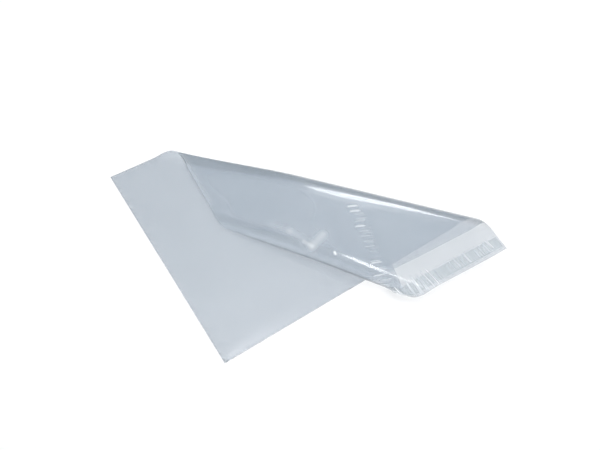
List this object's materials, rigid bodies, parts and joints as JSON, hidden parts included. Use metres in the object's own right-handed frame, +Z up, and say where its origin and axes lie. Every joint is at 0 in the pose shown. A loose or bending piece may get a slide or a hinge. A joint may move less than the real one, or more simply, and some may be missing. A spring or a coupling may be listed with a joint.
{
  "type": "flat poly bag",
  "caption": "Flat translucent polythene mailing bag with an open mouth and a self-seal flap, lying empty with its far side loosely rolled over.",
  "frame": {"origin": "on the surface the bag lies on, under the middle of its footprint", "axes": "+X across the bag, from its left side to its right; +Y along the bag, from its closed end towards its flap; +Z up"},
  "size_m": [0.294, 0.3016, 0.0224],
  "materials": {
    "polythene_film": "translucent glossy film",
    "adhesive": "clear tacky band",
    "liner_film": "clear glossy puckered film"
  },
  "bodies": {
    "root": {"bag_film": "polythene_film", "adhesive_strip": "adhesive", "release_liner": "liner_film"}
  },
  "joints": []
}
